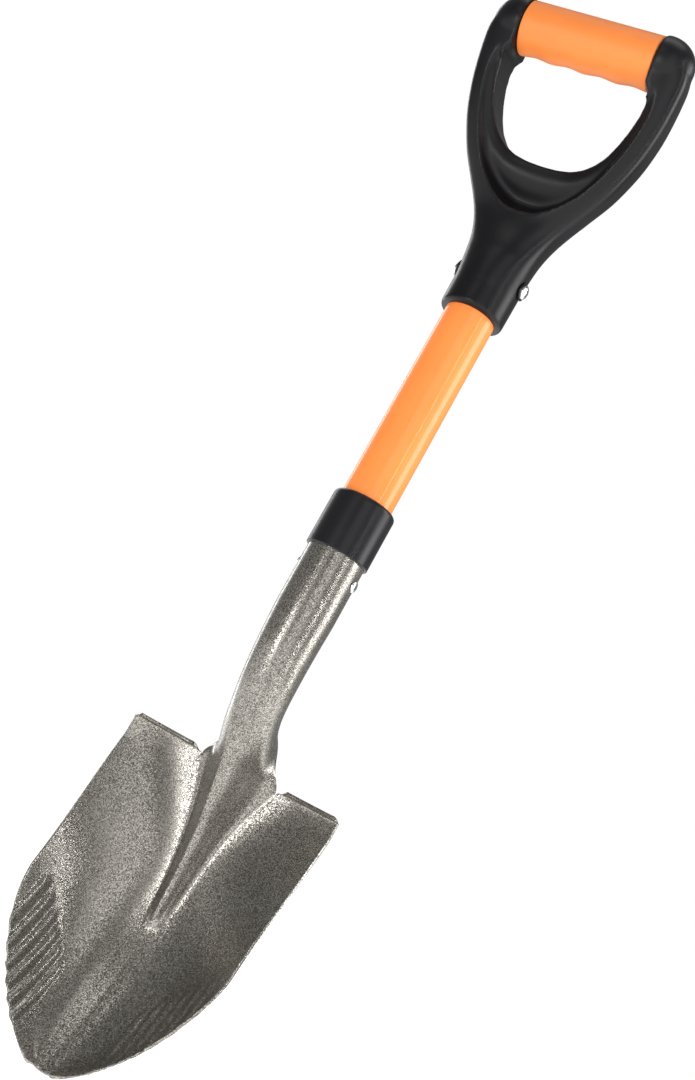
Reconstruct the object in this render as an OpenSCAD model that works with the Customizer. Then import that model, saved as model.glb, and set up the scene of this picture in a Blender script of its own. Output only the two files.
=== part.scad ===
// Short round-point digging shovel with a D handle.
// The shaft runs along Z, the front of the blade faces -Y, and the tool is symmetric about X = 0.
// The origin is the middle of the grip's underside, where the tool hangs from a peg.

/* [Blade] */
// Length of the blade from the foot steps to the tip
blade_len = 184; // [170:1:200]
// Width of the blade across the foot steps
blade_w = 140; // [130:1:150]
// Thickness of the pressed steel sheet
sheet_t = 1.7; // [1.4:0.1:1.8]
// Length of the rounded point, from the end of the straight sides to the tip
nose_len = 88; // [80:1:95]
// How far the floor of the dish lies behind the side edges at the start of the point
dish_depth = 41; // [30:1:44]
// Length of each foot step's turned lip
step_len = 2; // [1.5:0.5:6]

/* [Corrugations] */
// Number of pressed ridges on each side of the point
ridge_count = 6; // [3:1:7]
// Distance between two ridges
ridge_pitch = 5.9; // [5:0.1:6.5]
// Height of a ridge above the dish
ridge_h = 1.3; // [0.8:0.1:2.2]
// Distance of the innermost ridge's near side from the centre line
ridge_start_x = 24.6; // [20:0.1:26]

/* [Neck] */
// Outer diameter of the rolled socket
socket_d = 36; // [36:0.1:36.4]
// Height of the socket's top edge above the foot steps
socket_top = 166; // [160:1:168]

/* [Shaft] */
// Outer diameter of the shaft tube
shaft_d = 32; // [31:0.5:32]
// Wall of the shaft tube
shaft_wall = 2.6; // [2:0.1:3.5]
// Height of the shaft's lower end above the foot steps
shaft_low = 100; // [98:1:104]
// Height of the shaft's upper end above the foot steps
shaft_high = 338; // [334:1:339]
// Length of each core plug inside the shaft
plug_len = 56; // [50:1:60]

/* [Ferrule] */
// Outer diameter of the ferrule sleeve
ferrule_d = 39.4; // [38.6:0.1:41]
// Height of the ferrule's lower edge above the foot steps
ferrule_low = 133; // [130:1:136]
// Length of the ferrule
ferrule_len = 36.5; // [36:0.5:40]

/* [Handle] */
// Height of the handle socket's rim above the foot steps
rim_z = 302; // [299:0.5:304]
// Diameter of the handle socket at its rim
rim_d = 40.8; // [40:0.1:43]
// How far the grip's axis lies in front of the shaft's axis
grip_forward = 43.5; // [36:0.5:45]
// Height of the grip's axis above the foot steps
grip_z = 476; // [472:1:479]
// Half width of the D handle across its shoulders
handle_half_w = 65; // [63:0.5:68]

/* [Grip] */
// Length of the soft sleeve between the handle's shoulders
grip_len = 85.5; // [83:0.5:87]
// Diameter of the soft sleeve
grip_d = 33; // [32:0.5:34]
// Depth of the finger waves along the sleeve's underside
wave_h = 1; // [0.4:0.1:1.4]

/* [Fasteners] */
// Height of the handle screws above the foot steps
screw_z = 330; // [328:1:331]
// Diameter of a handle screw's shank
screw_d = 4.8; // [4:0.1:5.5]
// Diameter of a handle screw's domed head
screw_head_d = 9; // [8:0.1:10]
// Height of the socket rivet above the foot steps
rivet_z = 121.5; // [118:0.5:124]
// Diameter of the socket rivet's shank
rivet_d = 4.4; // [4:0.1:5]
// Diameter of the socket rivet's heads
rivet_head_d = 7.4; // [6.5:0.1:8]

/* [Hidden] */

steel = [0.52, 0.50, 0.46];
orange = [0.95, 0.52, 0.18];
soft_orange = [0.90, 0.47, 0.17];
black = [0.10, 0.10, 0.11];
zinc = [0.80, 0.81, 0.82];
nylon = [0.85, 0.83, 0.76];

fine = 96;       // facets round the exact bodies of revolution
eps = 0.05;      // small overlap that keeps a cut clean

// Shapes shared by the pieces
function mix(a, b, t) = a + (b - a) * t;
function clamp01(t) = max(0, min(1, t));
function ease(t) = let (c = clamp01(t)) c * c * (3 - 2 * c);
function unit(v) = v / norm(v);

// Value of column c of a station table at height z, with a smooth curve through the stations.
// The stations run from high z to low z.
function segment(tbl, z, i = 0) =
    (i >= len(tbl) - 2 || z >= tbl[i + 1][0]) ? i : segment(tbl, z, i + 1);
function slope(tbl, c, i) =
    let (a = max(0, i - 1), b = min(len(tbl) - 1, i + 1))
    (tbl[b][c] - tbl[a][c]) / (tbl[b][0] - tbl[a][0]);
function track(tbl, c, z) =
    let (i = segment(tbl, z), z0 = tbl[i][0], z1 = tbl[i + 1][0], h = z1 - z0,
         t = clamp01((z - z0) / h), t2 = t * t, t3 = t2 * t)
    (2 * t3 - 3 * t2 + 1) * tbl[i][c] + (t3 - 2 * t2 + t) * h * slope(tbl, c, i)
    + (3 * t2 - 2 * t3) * tbl[i + 1][c] + (t3 - t2) * h * slope(tbl, c, i + 1);

// Point on the curve that leaves p along u and arrives at q along v
function arc_between(p, u, q, v, t) =
    let (t2 = t * t, t3 = t2 * t)
    (2 * t3 - 3 * t2 + 1) * p + (t3 - 2 * t2 + t) * u + (3 * t2 - 2 * t3) * q + (t3 - t2) * v;

// Blade sheet: neck, frog, dish, steps and ridges, all one pressing
socket_r = socket_d / 2 - sheet_t / 2;   // middle of the sheet
seam_x = 0.9 + sheet_t / 2;              // half the gap of the seam at the back of the socket
heel_half_w = blade_w / 2;
nose_z = nose_len - blade_len;           // height where the point begins, below the steps
nose_half_w = heel_half_w * 0.945;
nose_power = 1.55;                       // below 2, so the point is slimmer than an ellipse
tip_round = 11;                          // takes the corner off the tip
floor_y = 32.5;                          // valleys beside the frog, behind the shaft's axis
floor_start = -60;                       // height where the floor begins to rise to the tip
edge_front_y = floor_y - dish_depth - 6.5;   // side edges along the point
edge_heel_y = 21;                        // side edges at the steps
edge_rise = 0.335;                       // forward run of the side edges for each unit of height
edge_soft = 5;                           // softens the end of that run
tip_y = edge_front_y + 4;
heel_power = 2.2;                        // at the steps the dish is round
dish_power = 1.6;                        // lower down its sides are nearly straight

// Half section of neck and frog at a height: the crest in front, the side, and the outer edge.
// Heights h stand in front of the floor of the dish.
// z, crest h, side x, side h, side angle, edge x, edge h, edge angle
tube_crest = floor_y + socket_r;
tube_back = floor_y - socket_r;
frog_stations = [
    [170, tube_crest, socket_r, floor_y, 90, seam_x, tube_back, 180],
    [98, tube_crest, socket_r, floor_y, 90, seam_x, tube_back, 180],
    [84, tube_crest - 0.3, socket_r - 0.5, floor_y - 0.2, 90, seam_x, tube_back, 180],
    [70, 48.6, 16.1, 31.6, 90, seam_x, 15, 180],
    [53, 46, 15.4, 29.5, 90, seam_x, 13.3, 178],
    [38, 42.5, 14.6, 27, 88, 6.5, 9.5, 140],
    [23, 38, 14.2, 22.8, 80, 14.5, 5, 92],
    [11, 33, 12.8, 18.4, 66, 19, 2, 58],
    [0, 27.5, 10.6, 13.8, 54, 25.5, 0, 8],
    [-21, 19.5, 8.6, 9.4, 50, 18, 0, 0],
    [-38, 12.8, 6.6, 6.0, 46, 13.5, 0, 0],
    [-58, 9, 4.9, 4.1, 42, 10, 0, 0],
    [-74, 6.8, 3.8, 3.1, 38, 8, 0, 0],
    [-84, 5, 3.2, 2.1, 32, 7, 0, 0],
    [-90, 2, 2.8, 0.8, 14, 6.4, 0, 0],
    [-94, 0, 3, 0, 0, 6, 0, 0],
    [-190, 0, 3, 0, 0, 6, 0, 0]
];

// Depth of the dish's floor and of its side edges
function dish_floor(z) = z > floor_start ? floor_y
    : mix(floor_y, tip_y, pow((floor_start - z) / (floor_start + blade_len), 2));
function side_edge(z) =
    let (t = edge_heel_y - edge_front_y + edge_rise * min(0, z + 10))
    edge_front_y + (t + sqrt(t * t + edge_soft * edge_soft)) / 2;

// Half width of the outline at a height, and height of the outline at a distance from the centre
function half_width(z) = z >= nose_z ? mix(nose_half_w, heel_half_w, ease((z - nose_z) / -nose_z))
    : nose_half_w * pow(max(0, 1 - pow((nose_z - z) / nose_len, nose_power)), 1 / nose_power);
function rounded(x) = pow(x * x + tip_round * tip_round, nose_power / 2) - pow(tip_round, nose_power);
function outline_z(x) = nose_z - nose_len
    * pow(max(0, 1 - rounded(x) / rounded(nose_half_w)), 1 / nose_power);

// Height of the pressed ridges
ridge_end_x = ridge_start_x + ridge_count * ridge_pitch;
ridge_top_z = -138;      // upper end of the innermost ridge
ridge_stagger = 1.2;     // how much higher the next ones begin, for each unit of distance
ridge_lead = 5;          // run over which a ridge rises
function ridge(x, z) =
    let (ax = abs(x), top = ridge_top_z + ridge_stagger * (ax - ridge_start_x))
    ax < ridge_start_x || ax > ridge_end_x ? 0
    : ridge_h * ease((top - z) / ridge_lead) * (1 - cos(360 * (ax - ridge_start_x) / ridge_pitch)) / 2;

// The dish outside the frog, whose foot lies at foot_x
function dish(x, z, foot_x) =
    let (w = max(foot_x + 1, half_width(z)), s = clamp01((abs(x) - foot_x) / (w - foot_x)))
    let (bow = mix(heel_power, dish_power, ease(-z / 60) * (1 - ease((-60 - z) / 50))))
    mix(dish_floor(z), side_edge(z), pow(s, bow)) - ridge(x, z);

// The sheet is a grid. Columns run across it, and rows from the top of the socket to the tip.
frog_cols = 10;          // on each side of the crest
wing_cols = 28;          // beyond the frog on each side
neck_rows = 16;
step_rows = 4;
upper_rows = 12;
nose_rows = 21;
col_count = 2 * (frog_cols + wing_cols);
row_count = neck_rows + upper_rows + nose_rows;
corner_x = 0.7 * nose_half_w;      // where the side edge hands over to the bottom of the point
corner_z = outline_z(corner_x);
bend_z = 98;                       // the socket is straight above this height

function row_z(i) =
    i == 0 ? socket_top
    : i <= neck_rows ? mix(bend_z, 0, (i - 1) / (neck_rows - 1))
    : i <= neck_rows + upper_rows ? mix(0, nose_z, (i - neck_rows) / upper_rows)
    : mix(nose_z, corner_z, (i - neck_rows - upper_rows) / nose_rows);
function row_bend(i) = i <= neck_rows ? 0 : pow((i - neck_rows) / (row_count - neck_rows), 2);
function bent_z(i, x) =
    i <= neck_rows ? row_z(i)
    : row_z(i) + row_bend(i) * (outline_z(corner_x * x / half_width(row_z(i))) - corner_z);

round_bow = 1.17;        // length of a curve's end directions against its chord, for a quarter circle
crest_bow = 0.55;        // the same at the frog's crest, which is tighter
function frog_section(share, z) =
    let (p = [0, -track(frog_stations, 1, z)],
         s = [track(frog_stations, 2, z), -track(frog_stations, 3, z)],
         q = [track(frog_stations, 5, z), -track(frog_stations, 6, z)],
         turn = track(frog_stations, 4, z), edge_turn = track(frog_stations, 7, z),
         upper = mix(crest_bow, round_bow, ease(z / 50)) * norm(s - p), lower = round_bow * norm(q - s),
         out = [cos(turn), sin(turn)])
    share < 0.5 ? arc_between(p, [upper, 0], s, out * upper, share * 2)
    : arc_between(s, out * lower, q, [cos(edge_turn), sin(edge_turn)] * lower, share * 2 - 1);

function frog_point(i, share, side) =
    let (f = frog_section(share, row_z(i)), z = bent_z(i, f[0]))
    [side * f[0], dish_floor(z) + f[1], z];

// Wing columns stand close together where the ridges are
function wing_share(n) = let (t = n / wing_cols) t < 0.14 ? 2.1 * t : mix(0.294, 1, (t - 0.14) / 0.86);

function wing_point(i, share, side) =
    let (z = row_z(i), foot = track(frog_stations, 5, z), x = mix(foot, half_width(z), share),
         zz = bent_z(i, x))
    [side * x, dish(x, zz, foot), zz];

// The steps turn forward out of the top of each wing and fade out at both ends
step_bend_r = 2.4;
step_turn = 80;
function step_point(r, share, side) =
    let (start = wing_point(neck_rows, share, side), x = abs(start[0]),
         fade = min(ease((x - 28) / 6), ease((heel_half_w + 1.5 - x) / 7)),
         a = step_turn * min(1, r / 2) * max(0.15, fade),
         run = max(0, r - 2) / (step_rows - 2) * step_len * fade)
    start + [0, -step_bend_r * (1 - cos(a)) - run * sin(a), step_bend_r * sin(a) + run * cos(a)];

function sheet_point(i, j) =
    let (k = j - frog_cols - wing_cols, side = sign(k), n = abs(k))
    n <= frog_cols ? frog_point(i, n / frog_cols, side)
    : i < neck_rows ? step_point(neck_rows - i, wing_share(n - frog_cols), side)
    : wing_point(i, wing_share(n - frog_cols), side);

// A cell exists everywhere below the steps, and above them only in the neck and the steps
function in_frog(j) = j >= wing_cols && j < wing_cols + 2 * frog_cols;
function has_cell(i, j) =
    i >= 0 && j >= 0 && i < row_count && j < col_count
    && (i >= neck_rows || in_frog(j)
        || (i >= neck_rows - step_rows && j != wing_cols - 1 && j != wing_cols + 2 * frog_cols));
function has_point(i, j) =
    has_cell(i, j) || has_cell(i - 1, j) || has_cell(i, j - 1) || has_cell(i - 1, j - 1);

// A point has a neighbour in a direction when a cell lies on either side of the edge between them
function has_edge(i, j, di, dj) =
    let (a = min(i, i + di), b = min(j, j + dj))
    has_cell(a, b) || has_cell(a - abs(dj), b - abs(di));

module sheet() {
    grid = [for (i = [0 : row_count]) [for (j = [0 : col_count]) sheet_point(i, j)]];
    function beside(i, j, di, dj) = has_edge(i, j, di, dj) ? grid[i + di][j + dj] : grid[i][j];
    function normal(i, j) = unit(cross(
        beside(i, j, 1, 0) - beside(i, j, -1, 0), beside(i, j, 0, 1) - beside(i, j, 0, -1)));
    used = [for (i = [0 : row_count]) for (j = [0 : col_count]) if (has_point(i, j)) [i, j]];
    order = [for (i = [0 : row_count]) [for (j = [0 : col_count]) has_point(i, j) ? 1 : 0]];
    row_first = [for (i = 0, sum = 0; i <= row_count; sum = sum + total(order[i]), i = i + 1) sum];
    index = [for (i = [0 : row_count])
        [for (j = 0, sum = row_first[i]; j <= col_count; sum = sum + order[i][j], j = j + 1) sum]];
    count = len(used);
    points = [for (face = [1, -1]) for (u = used)
        grid[u[0]][u[1]] + normal(u[0], u[1]) * face * sheet_t / 2];
    function quad_pair(a, b, c, d) = [[a, b, c], [a, c, d]];
    function rim(open, a, b) = open ? quad_pair(a, b, b + count, a + count) : [];
    faces = [for (i = [0 : row_count - 1]) for (j = [0 : col_count - 1]) if (has_cell(i, j))
        let (a = index[i][j], b = index[i][j + 1], c = index[i + 1][j + 1], d = index[i + 1][j])
        each concat(
            quad_pair(d, c, b, a),
            quad_pair(a + count, b + count, c + count, d + count),
            rim(!has_cell(i - 1, j), a, b),
            rim(!has_cell(i, j + 1), b, c),
            rim(!has_cell(i + 1, j), c, d),
            rim(!has_cell(i, j - 1), d, a))];
    polyhedron(points, faces);
}
function total(v, i = 0) = i >= len(v) ? 0 : v[i] + total(v, i + 1);

// Everything is drawn from the foot steps upwards, then moved so that the origin is under the grip
hang_z = grip_z - grip_d / 2;
module placed() translate([0, grip_forward, -hang_z]) children();

module blade() { color(steel) placed() difference() {
    sheet();
    across_x(rivet_z, rivet_d / 2, 2 * socket_d);
} }

// A round hole or bar that runs right across at height z
module across_x(z, r, length)
    translate([0, 0, z]) rotate([0, 90, 0]) cylinder(r = r, h = length, center = true, $fn = 48);

// Shaft with its two core plugs
bore_gap = 0.1;
module shaft() { color(orange) placed() difference() {
    translate([0, 0, shaft_low]) cylinder(d = shaft_d, h = shaft_high - shaft_low, $fn = fine);
    translate([0, 0, shaft_low - 1])
        cylinder(d = shaft_d - 2 * shaft_wall, h = shaft_high - shaft_low + 2, $fn = fine);
    across_x(rivet_z, rivet_d / 2, 2 * shaft_d);
    across_x(screw_z, screw_d / 2, 2 * shaft_d);
} }

module core_plug(bottom, hole_z, hole_r, lean = 0) placed() difference() {
    translate([0, 0, bottom]) cylinder(d = shaft_d - 2 * shaft_wall, h = plug_len, $fn = fine);
    across_x(hole_z, hole_r, 2 * shaft_d);
}
module lower_core_plug() { color(nylon) core_plug(shaft_low + 4, rivet_z, rivet_d / 2); }
module upper_core_plug() { color(nylon) core_plug(shaft_high - 4 - plug_len, screw_z, screw_d / 2); }

// Ferrule: a sleeve over the top of the socket, with a lip that closes down on the shaft
ferrule_round = 3.2;
ferrule_foot = 0.6;
module ferrule() { color(black) placed() translate([0, 0, ferrule_low]) rotate_extrude($fn = fine) {
    top = ferrule_len;
    inner = socket_d / 2 + bore_gap;
    outer = ferrule_d / 2;
    socket_end = socket_top - ferrule_low + 0.4;
    lip = shaft_d / 2 + bore_gap;
    polygon(concat(
        [[inner, 0], [outer - ferrule_foot, 0], [outer, ferrule_foot]],
        [for (a = [0 : 15 : 90]) [outer - ferrule_round + ferrule_round * cos(a),
                                  top - ferrule_round + ferrule_round * sin(a)]],
        [[lip + 0.4, top], [lip, top - 0.4], [lip, socket_end], [inner, socket_end]]));
} }

// Handle yoke: socket, neck, two arms, two shoulders and the bar inside the grip, moulded in one
lean_z = 343;                                       // where the D begins to lean forward
lean = atan(grip_forward / (grip_z - lean_z));
reach = norm([grip_forward, grip_z - lean_z]);      // from there to the grip's axis
rim_round = 2.2;
shoulder_r = grip_d / 2 + 1.2;
shoulder_round = 11;
bar_r = 10;
module leaned() translate([0, 0, lean_z]) rotate([lean, 0, 0]) children();

// Half of the D's centre line: x, height along the D, half width, half depth
arm_path = [
    [0, 49.5, 13.6, 12.5],
    [15, 50.5, 13.6, 12.8],
    [29, 55.5, 14, 13.6],
    [40, 67, 11.2, 14.2],
    [47.4, 82, 9.2, 14.8],
    [52.5, 98, 8.9, 15.2],
    [54.9, 114, 8.9, 15.8],
    [55.2, 127, 9.7, 16.4],
    [54.2, 136, 10.2, 16.6]
];
// The neck, from the socket up to the arms: distance along its bend, half width, half depth, and
// squareness, where 2 is an ellipse
neck_path = [
    [-30, 20.4, 20.4, 2],
    [-14, 20.9, 20.7, 2.05],
    [0, 21.9, 20.5, 2.2],
    [10, 23.8, 20, 2.35],
    [21, 27.4, 18.6, 2.5],
    [33, 33.8, 17.4, 2.5],
    [42, 39, 16.4, 2.5],
    [49, 42.5, 15.2, 2.5],
    [55, 42, 12.5, 2.5],
    [58, 38, 9, 2.5]
];
neck_soft = 16;          // how gently the neck bends forward
ring_sides = 28;

// A closed skin through rings that all have the same number of points
module skin(rings) {
    n = len(rings[0]);
    last = len(rings) - 1;
    polyhedron([for (ring = rings) each ring],
        concat([[for (j = [0 : n - 1]) j]],
               [for (i = [0 : last - 1]) for (j = [0 : n - 1])
                   let (k = (j + 1) % n, low = i * n, high = low + n)
                   each [[low + j, high + j, high + k], [low + j, high + k, low + k]]],
               [[for (j = [n - 1 : -1 : 0]) last * n + j]]));
}
arm_squareness = 2.5;
function squared(c, squareness) = sign(c) * pow(abs(c), 2 / squareness);

arm_left = [for (i = [len(arm_path) - 1 : -1 : 1]) [-arm_path[i][0], for (k = [1 : 3]) arm_path[i][k]]];
arm_full = concat(arm_left, arm_path);
function arm_ring(i) =
    let (s = arm_full[i], a = arm_full[max(0, i - 1)], b = arm_full[min(len(arm_full) - 1, i + 1)],
         d = unit([b[0] - a[0], b[1] - a[1]]))
    [for (j = [0 : ring_sides - 1])
        let (t = 360 * j / ring_sides, w = s[2] * squared(cos(t), arm_squareness))
        [s[0] + d[1] * w, s[3] * squared(sin(t), arm_squareness), s[1] - d[0] * w]];
module arms() skin([for (i = [0 : len(arm_full) - 1]) arm_ring(i)]);

function neck_ring(s) =
    let (h = s[0], r = norm([h, neck_soft]), a = lean * (1 + h / r) / 2, run = (h + r) / 2)
    [for (j = [0 : ring_sides - 1])
        let (t = 360 * j / ring_sides, x = s[1] * squared(cos(t), s[3]),
             d = s[2] * squared(sin(t), s[3]))
        [x, d * cos(a) - run * sin(lean), lean_z + h - run * (1 - cos(lean)) + d * sin(a)]];
module neck() skin([for (s = neck_path) neck_ring(s)]);

// A shoulder is turned about the grip's axis, with a domed outer end
module shoulder(side) {
    inner = grip_len / 2 + 0.1;
    translate([0, 0, reach]) rotate([0, 90 * side, 0]) rotate_extrude($fn = fine)
        polygon(concat([[0, inner], [shoulder_r - 0.8, inner], [shoulder_r, inner + 0.8]],
            [for (a = [0 : 10 : 90]) [shoulder_r - shoulder_round + shoulder_round * cos(a),
                                      handle_half_w - shoulder_round + shoulder_round * sin(a)]],
            [[0, handle_half_w]]));
}

// The round socket, whose rim is rounded and whose top runs into the neck
socket_swell = 0.4;      // how much wider the socket is at the screws than at its rim
socket_full = 26;        // height above the rim where it is widest
socket_in_neck = 38;     // height above the rim of its end inside the neck
module handle_socket() translate([0, 0, rim_z]) rotate_extrude($fn = fine) {
    r = rim_d / 2;
    polygon(concat([[0, 0], [r - rim_round, 0]],
        [for (a = [-75 : 15 : 0]) [r - rim_round + rim_round * cos(a), rim_round + rim_round * sin(a)]],
        [[r + socket_swell, socket_full], [r - 2, socket_in_neck], [0, socket_in_neck]]));
}
bar_in_shoulder = 4;     // how far the bar inside the grip runs into each shoulder
module grip_bar() translate([0, 0, reach]) rotate([0, 90, 0])
    cylinder(r = bar_r, h = grip_len + 2 * bar_in_shoulder, center = true, $fn = fine);

module handle_yoke() { color(black) placed() difference() {
    union() {
        handle_socket();
        neck();
        leaned() {
            arms();
            shoulder(-1);
            shoulder(1);
            grip_bar();
        }
    }
    translate([0, 0, rim_z - 1])
        cylinder(r = shaft_d / 2 + bore_gap, h = shaft_high - rim_z + 2, $fn = fine);
    across_x(screw_z, screw_d / 2, 3 * rim_d);
} }

// Soft grip sleeve: round, a little thicker at its ends, with finger waves along the underside
grip_rings = 42;
grip_sides = 40;
wave_count = 4;
bar_gap = 0.05;
function grip_ring(i) =
    let (t = i / grip_rings, x = (t - 0.5) * grip_len,
         w = wave_h * (1 - cos(360 * wave_count * t)) / 2)
    [for (j = [0 : grip_sides - 1])
        let (a = 360 * j / grip_sides, r = grip_d / 2 - w * pow(max(0, -cos(a)), 2))
        [x, -r * sin(a), r * cos(a)]];
module grip_sleeve() { color(soft_orange) placed() leaned() translate([0, 0, reach]) difference() {
    skin([for (i = [0 : grip_rings]) grip_ring(i)]);
    rotate([0, 90, 0]) cylinder(r = bar_r + bar_gap, h = grip_len + 4, center = true, $fn = fine);
} }

// Handle screws and their washers, turned about X
washer_d = 11.6;
washer_t = 0.9;
washer_x = rim_d / 2 + 0.7;
head_x = washer_x + washer_t;    // underside of the head
dome_h = 2.9;
drive_w = 4.8;           // length of the cross slots in the head
drive_t = 0.9;           // their width
drive_depth = 1.5;
screw_end_x = 9;
module turned(side, z) translate([0, 0, z]) rotate([0, 90 * side, 0]) children();

module screw_washer(side) placed() turned(side, screw_z) translate([0, 0, washer_x]) difference() {
    cylinder(d = washer_d, h = washer_t, $fn = fine);
    translate([0, 0, -eps]) cylinder(d = screw_d + 0.2, h = washer_t + 2 * eps, $fn = fine);
}
module handle_screw(side) placed() turned(side, screw_z) difference() {
    union() {
        translate([0, 0, screw_end_x])
            cylinder(d = screw_d - 0.2, h = head_x - screw_end_x + eps, $fn = 48);
        translate([0, 0, head_x]) dome(screw_head_d / 2, dome_h);
    }
    for (a = [0, 90]) rotate([0, 0, a])
        translate([0, 0, head_x + dome_h]) cube([drive_w, drive_t, 2 * drive_depth], center = true);
}
// A dome of radius r and height h on a short straight edge
dome_edge = 0.5;
module dome(r, h) rotate_extrude($fn = fine)
    polygon(concat([[0, 0], [r, 0]],
        [for (a = [0 : 10 : 90]) [r * cos(a), dome_edge + (h - dome_edge) * sin(a)]]));

module screw_washer_left() { color(zinc) screw_washer(-1); }
module screw_washer_right() { color(zinc) screw_washer(1); }
module handle_screw_left() { color(zinc) handle_screw(-1); }
module handle_screw_right() { color(zinc) handle_screw(1); }

// One rivet runs through socket, shaft and plug, with a formed head at each end
rivet_head_h = 1.9;
module socket_rivet() { color(zinc) placed() {
    seat = socket_d / 2 + 0.05;
    across_x(rivet_z, rivet_d / 2 - 0.1, 2 * (seat + eps));
    for (side = [-1, 1]) turned(side, rivet_z) translate([0, 0, seat]) dome(rivet_head_d / 2, rivet_head_h);
} }

blade();
shaft();
lower_core_plug();
upper_core_plug();
ferrule();
handle_yoke();
grip_sleeve();
screw_washer_left();
screw_washer_right();
handle_screw_left();
handle_screw_right();
socket_rivet();
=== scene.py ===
import math

import bpy
from mathutils import Matrix, Vector


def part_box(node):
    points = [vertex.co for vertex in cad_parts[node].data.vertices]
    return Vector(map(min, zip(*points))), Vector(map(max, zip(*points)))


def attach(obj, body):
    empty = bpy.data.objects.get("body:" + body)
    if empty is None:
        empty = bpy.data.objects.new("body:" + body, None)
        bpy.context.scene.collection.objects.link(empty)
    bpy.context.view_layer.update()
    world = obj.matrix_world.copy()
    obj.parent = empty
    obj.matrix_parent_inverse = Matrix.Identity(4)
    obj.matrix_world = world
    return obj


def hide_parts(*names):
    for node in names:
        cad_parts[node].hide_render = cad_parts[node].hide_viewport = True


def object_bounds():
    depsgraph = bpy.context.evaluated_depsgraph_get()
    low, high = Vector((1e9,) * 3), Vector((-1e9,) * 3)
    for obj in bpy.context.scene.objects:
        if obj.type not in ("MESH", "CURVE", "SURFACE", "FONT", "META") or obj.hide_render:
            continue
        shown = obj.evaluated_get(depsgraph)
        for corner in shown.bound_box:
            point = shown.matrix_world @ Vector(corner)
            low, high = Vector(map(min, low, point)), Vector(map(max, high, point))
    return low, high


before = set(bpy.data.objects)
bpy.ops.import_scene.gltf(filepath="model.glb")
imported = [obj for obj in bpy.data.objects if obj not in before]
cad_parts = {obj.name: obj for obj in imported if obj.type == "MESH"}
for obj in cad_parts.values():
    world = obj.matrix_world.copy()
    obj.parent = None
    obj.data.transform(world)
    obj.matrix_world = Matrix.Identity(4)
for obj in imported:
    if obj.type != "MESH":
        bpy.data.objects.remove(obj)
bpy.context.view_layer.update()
print("frame loaded")

mm = 0.001
shaftLow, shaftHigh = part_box("shaft")
gripLow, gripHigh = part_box("grip_sleeve")
shaftAxis = (shaftLow + shaftHigh) / 2
gripAxis = (gripLow + gripHigh) / 2
stepsBelowShaft = 100 * mm     # the foot steps lie this far under the shaft's lower end
steps = Vector((0, shaftAxis.y, shaftLow.z - stepsBelowShaft))


# camera; its target is given in mm from the middle of the foot steps' line
view = {
    "target": (0.8, 0.5, 145.2),
    "azimuth": 20.95,
    "elevation": -12.48,
    "roll": 29.2,
    "distance": 0.7889,
    "lens": 45.36,
}
viewTarget = steps + Vector(view["target"]) * mm


def makeCamera():
    around = math.radians(view["azimuth"])
    over = math.radians(view["elevation"])
    level = math.cos(over)
    forward = Vector((-math.sin(around) * level, math.cos(around) * level, -math.sin(over)))
    side = Vector((math.cos(around), math.sin(around), 0))
    turn = Matrix.Rotation(math.radians(-view["roll"]), 3, forward)
    side = turn @ side
    up = side.cross(forward)
    bpy.ops.object.camera_add()
    camera = bpy.context.object
    camera.name = "view_camera"
    camera.matrix_world = Matrix((side, up, -forward)).transposed().to_4x4()
    camera.location = viewTarget - forward * view["distance"]
    camera.data.lens = view["lens"]
    camera.data.sensor_width = 36
    bpy.context.scene.camera = camera


makeCamera()


# small helpers
def mix(a, b, t):
    return a + (b - a) * t


def clamp01(t):
    return max(0.0, min(1.0, t))


def ease(t):
    t = clamp01(t)
    return t * t * (3 - 2 * t)


def hermite(p, u, q, v, t):
    return (p * (2 * t**3 - 3 * t**2 + 1) + u * (t**3 - 2 * t**2 + t)
            + q * (3 * t**2 - 2 * t**3) + v * (t**3 - t**2))


def track(stations, column, at):
    # smooth value of one column of a table whose first column runs up or down
    keys = [s[0] for s in stations]
    rising = keys[-1] > keys[0]
    i = 0
    while i < len(keys) - 2 and ((at > keys[i + 1]) if rising else (at < keys[i + 1])):
        i += 1

    def slope(k):
        a, b = max(0, k - 1), min(len(keys) - 1, k + 1)
        return (stations[b][column] - stations[a][column]) / (keys[b] - keys[a])

    run = keys[i + 1] - keys[i]
    t = clamp01((at - keys[i]) / run)
    return hermite(stations[i][column], run * slope(i), stations[i + 1][column], run * slope(i + 1), t)


def deselectAll():
    if bpy.context.object and bpy.context.object.mode != "OBJECT":
        bpy.ops.object.mode_set(mode="OBJECT")
    bpy.ops.object.select_all(action="DESELECT")


def pick(*pieces):
    deselectAll()
    for piece in pieces:
        piece.select_set(True)
    bpy.context.view_layer.objects.active = pieces[0]


def applyModifier(piece, kind, **values):
    pick(piece)
    modifier = piece.modifiers.new(kind.title(), kind)
    for key, value in values.items():
        setattr(modifier, key, value)
    bpy.ops.object.modifier_apply(modifier=modifier.name)


def inEditMode(piece, work, selectMode="VERT"):
    pick(piece)
    bpy.ops.object.mode_set(mode="EDIT")
    bpy.ops.mesh.select_mode(type=selectMode)
    work()
    bpy.ops.object.mode_set(mode="OBJECT")


def selectFaces(piece, wanted):
    inEditMode(piece, lambda: bpy.ops.mesh.select_all(action="DESELECT"), "FACE")
    for face in piece.data.polygons:
        face.select = wanted(face)


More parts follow.
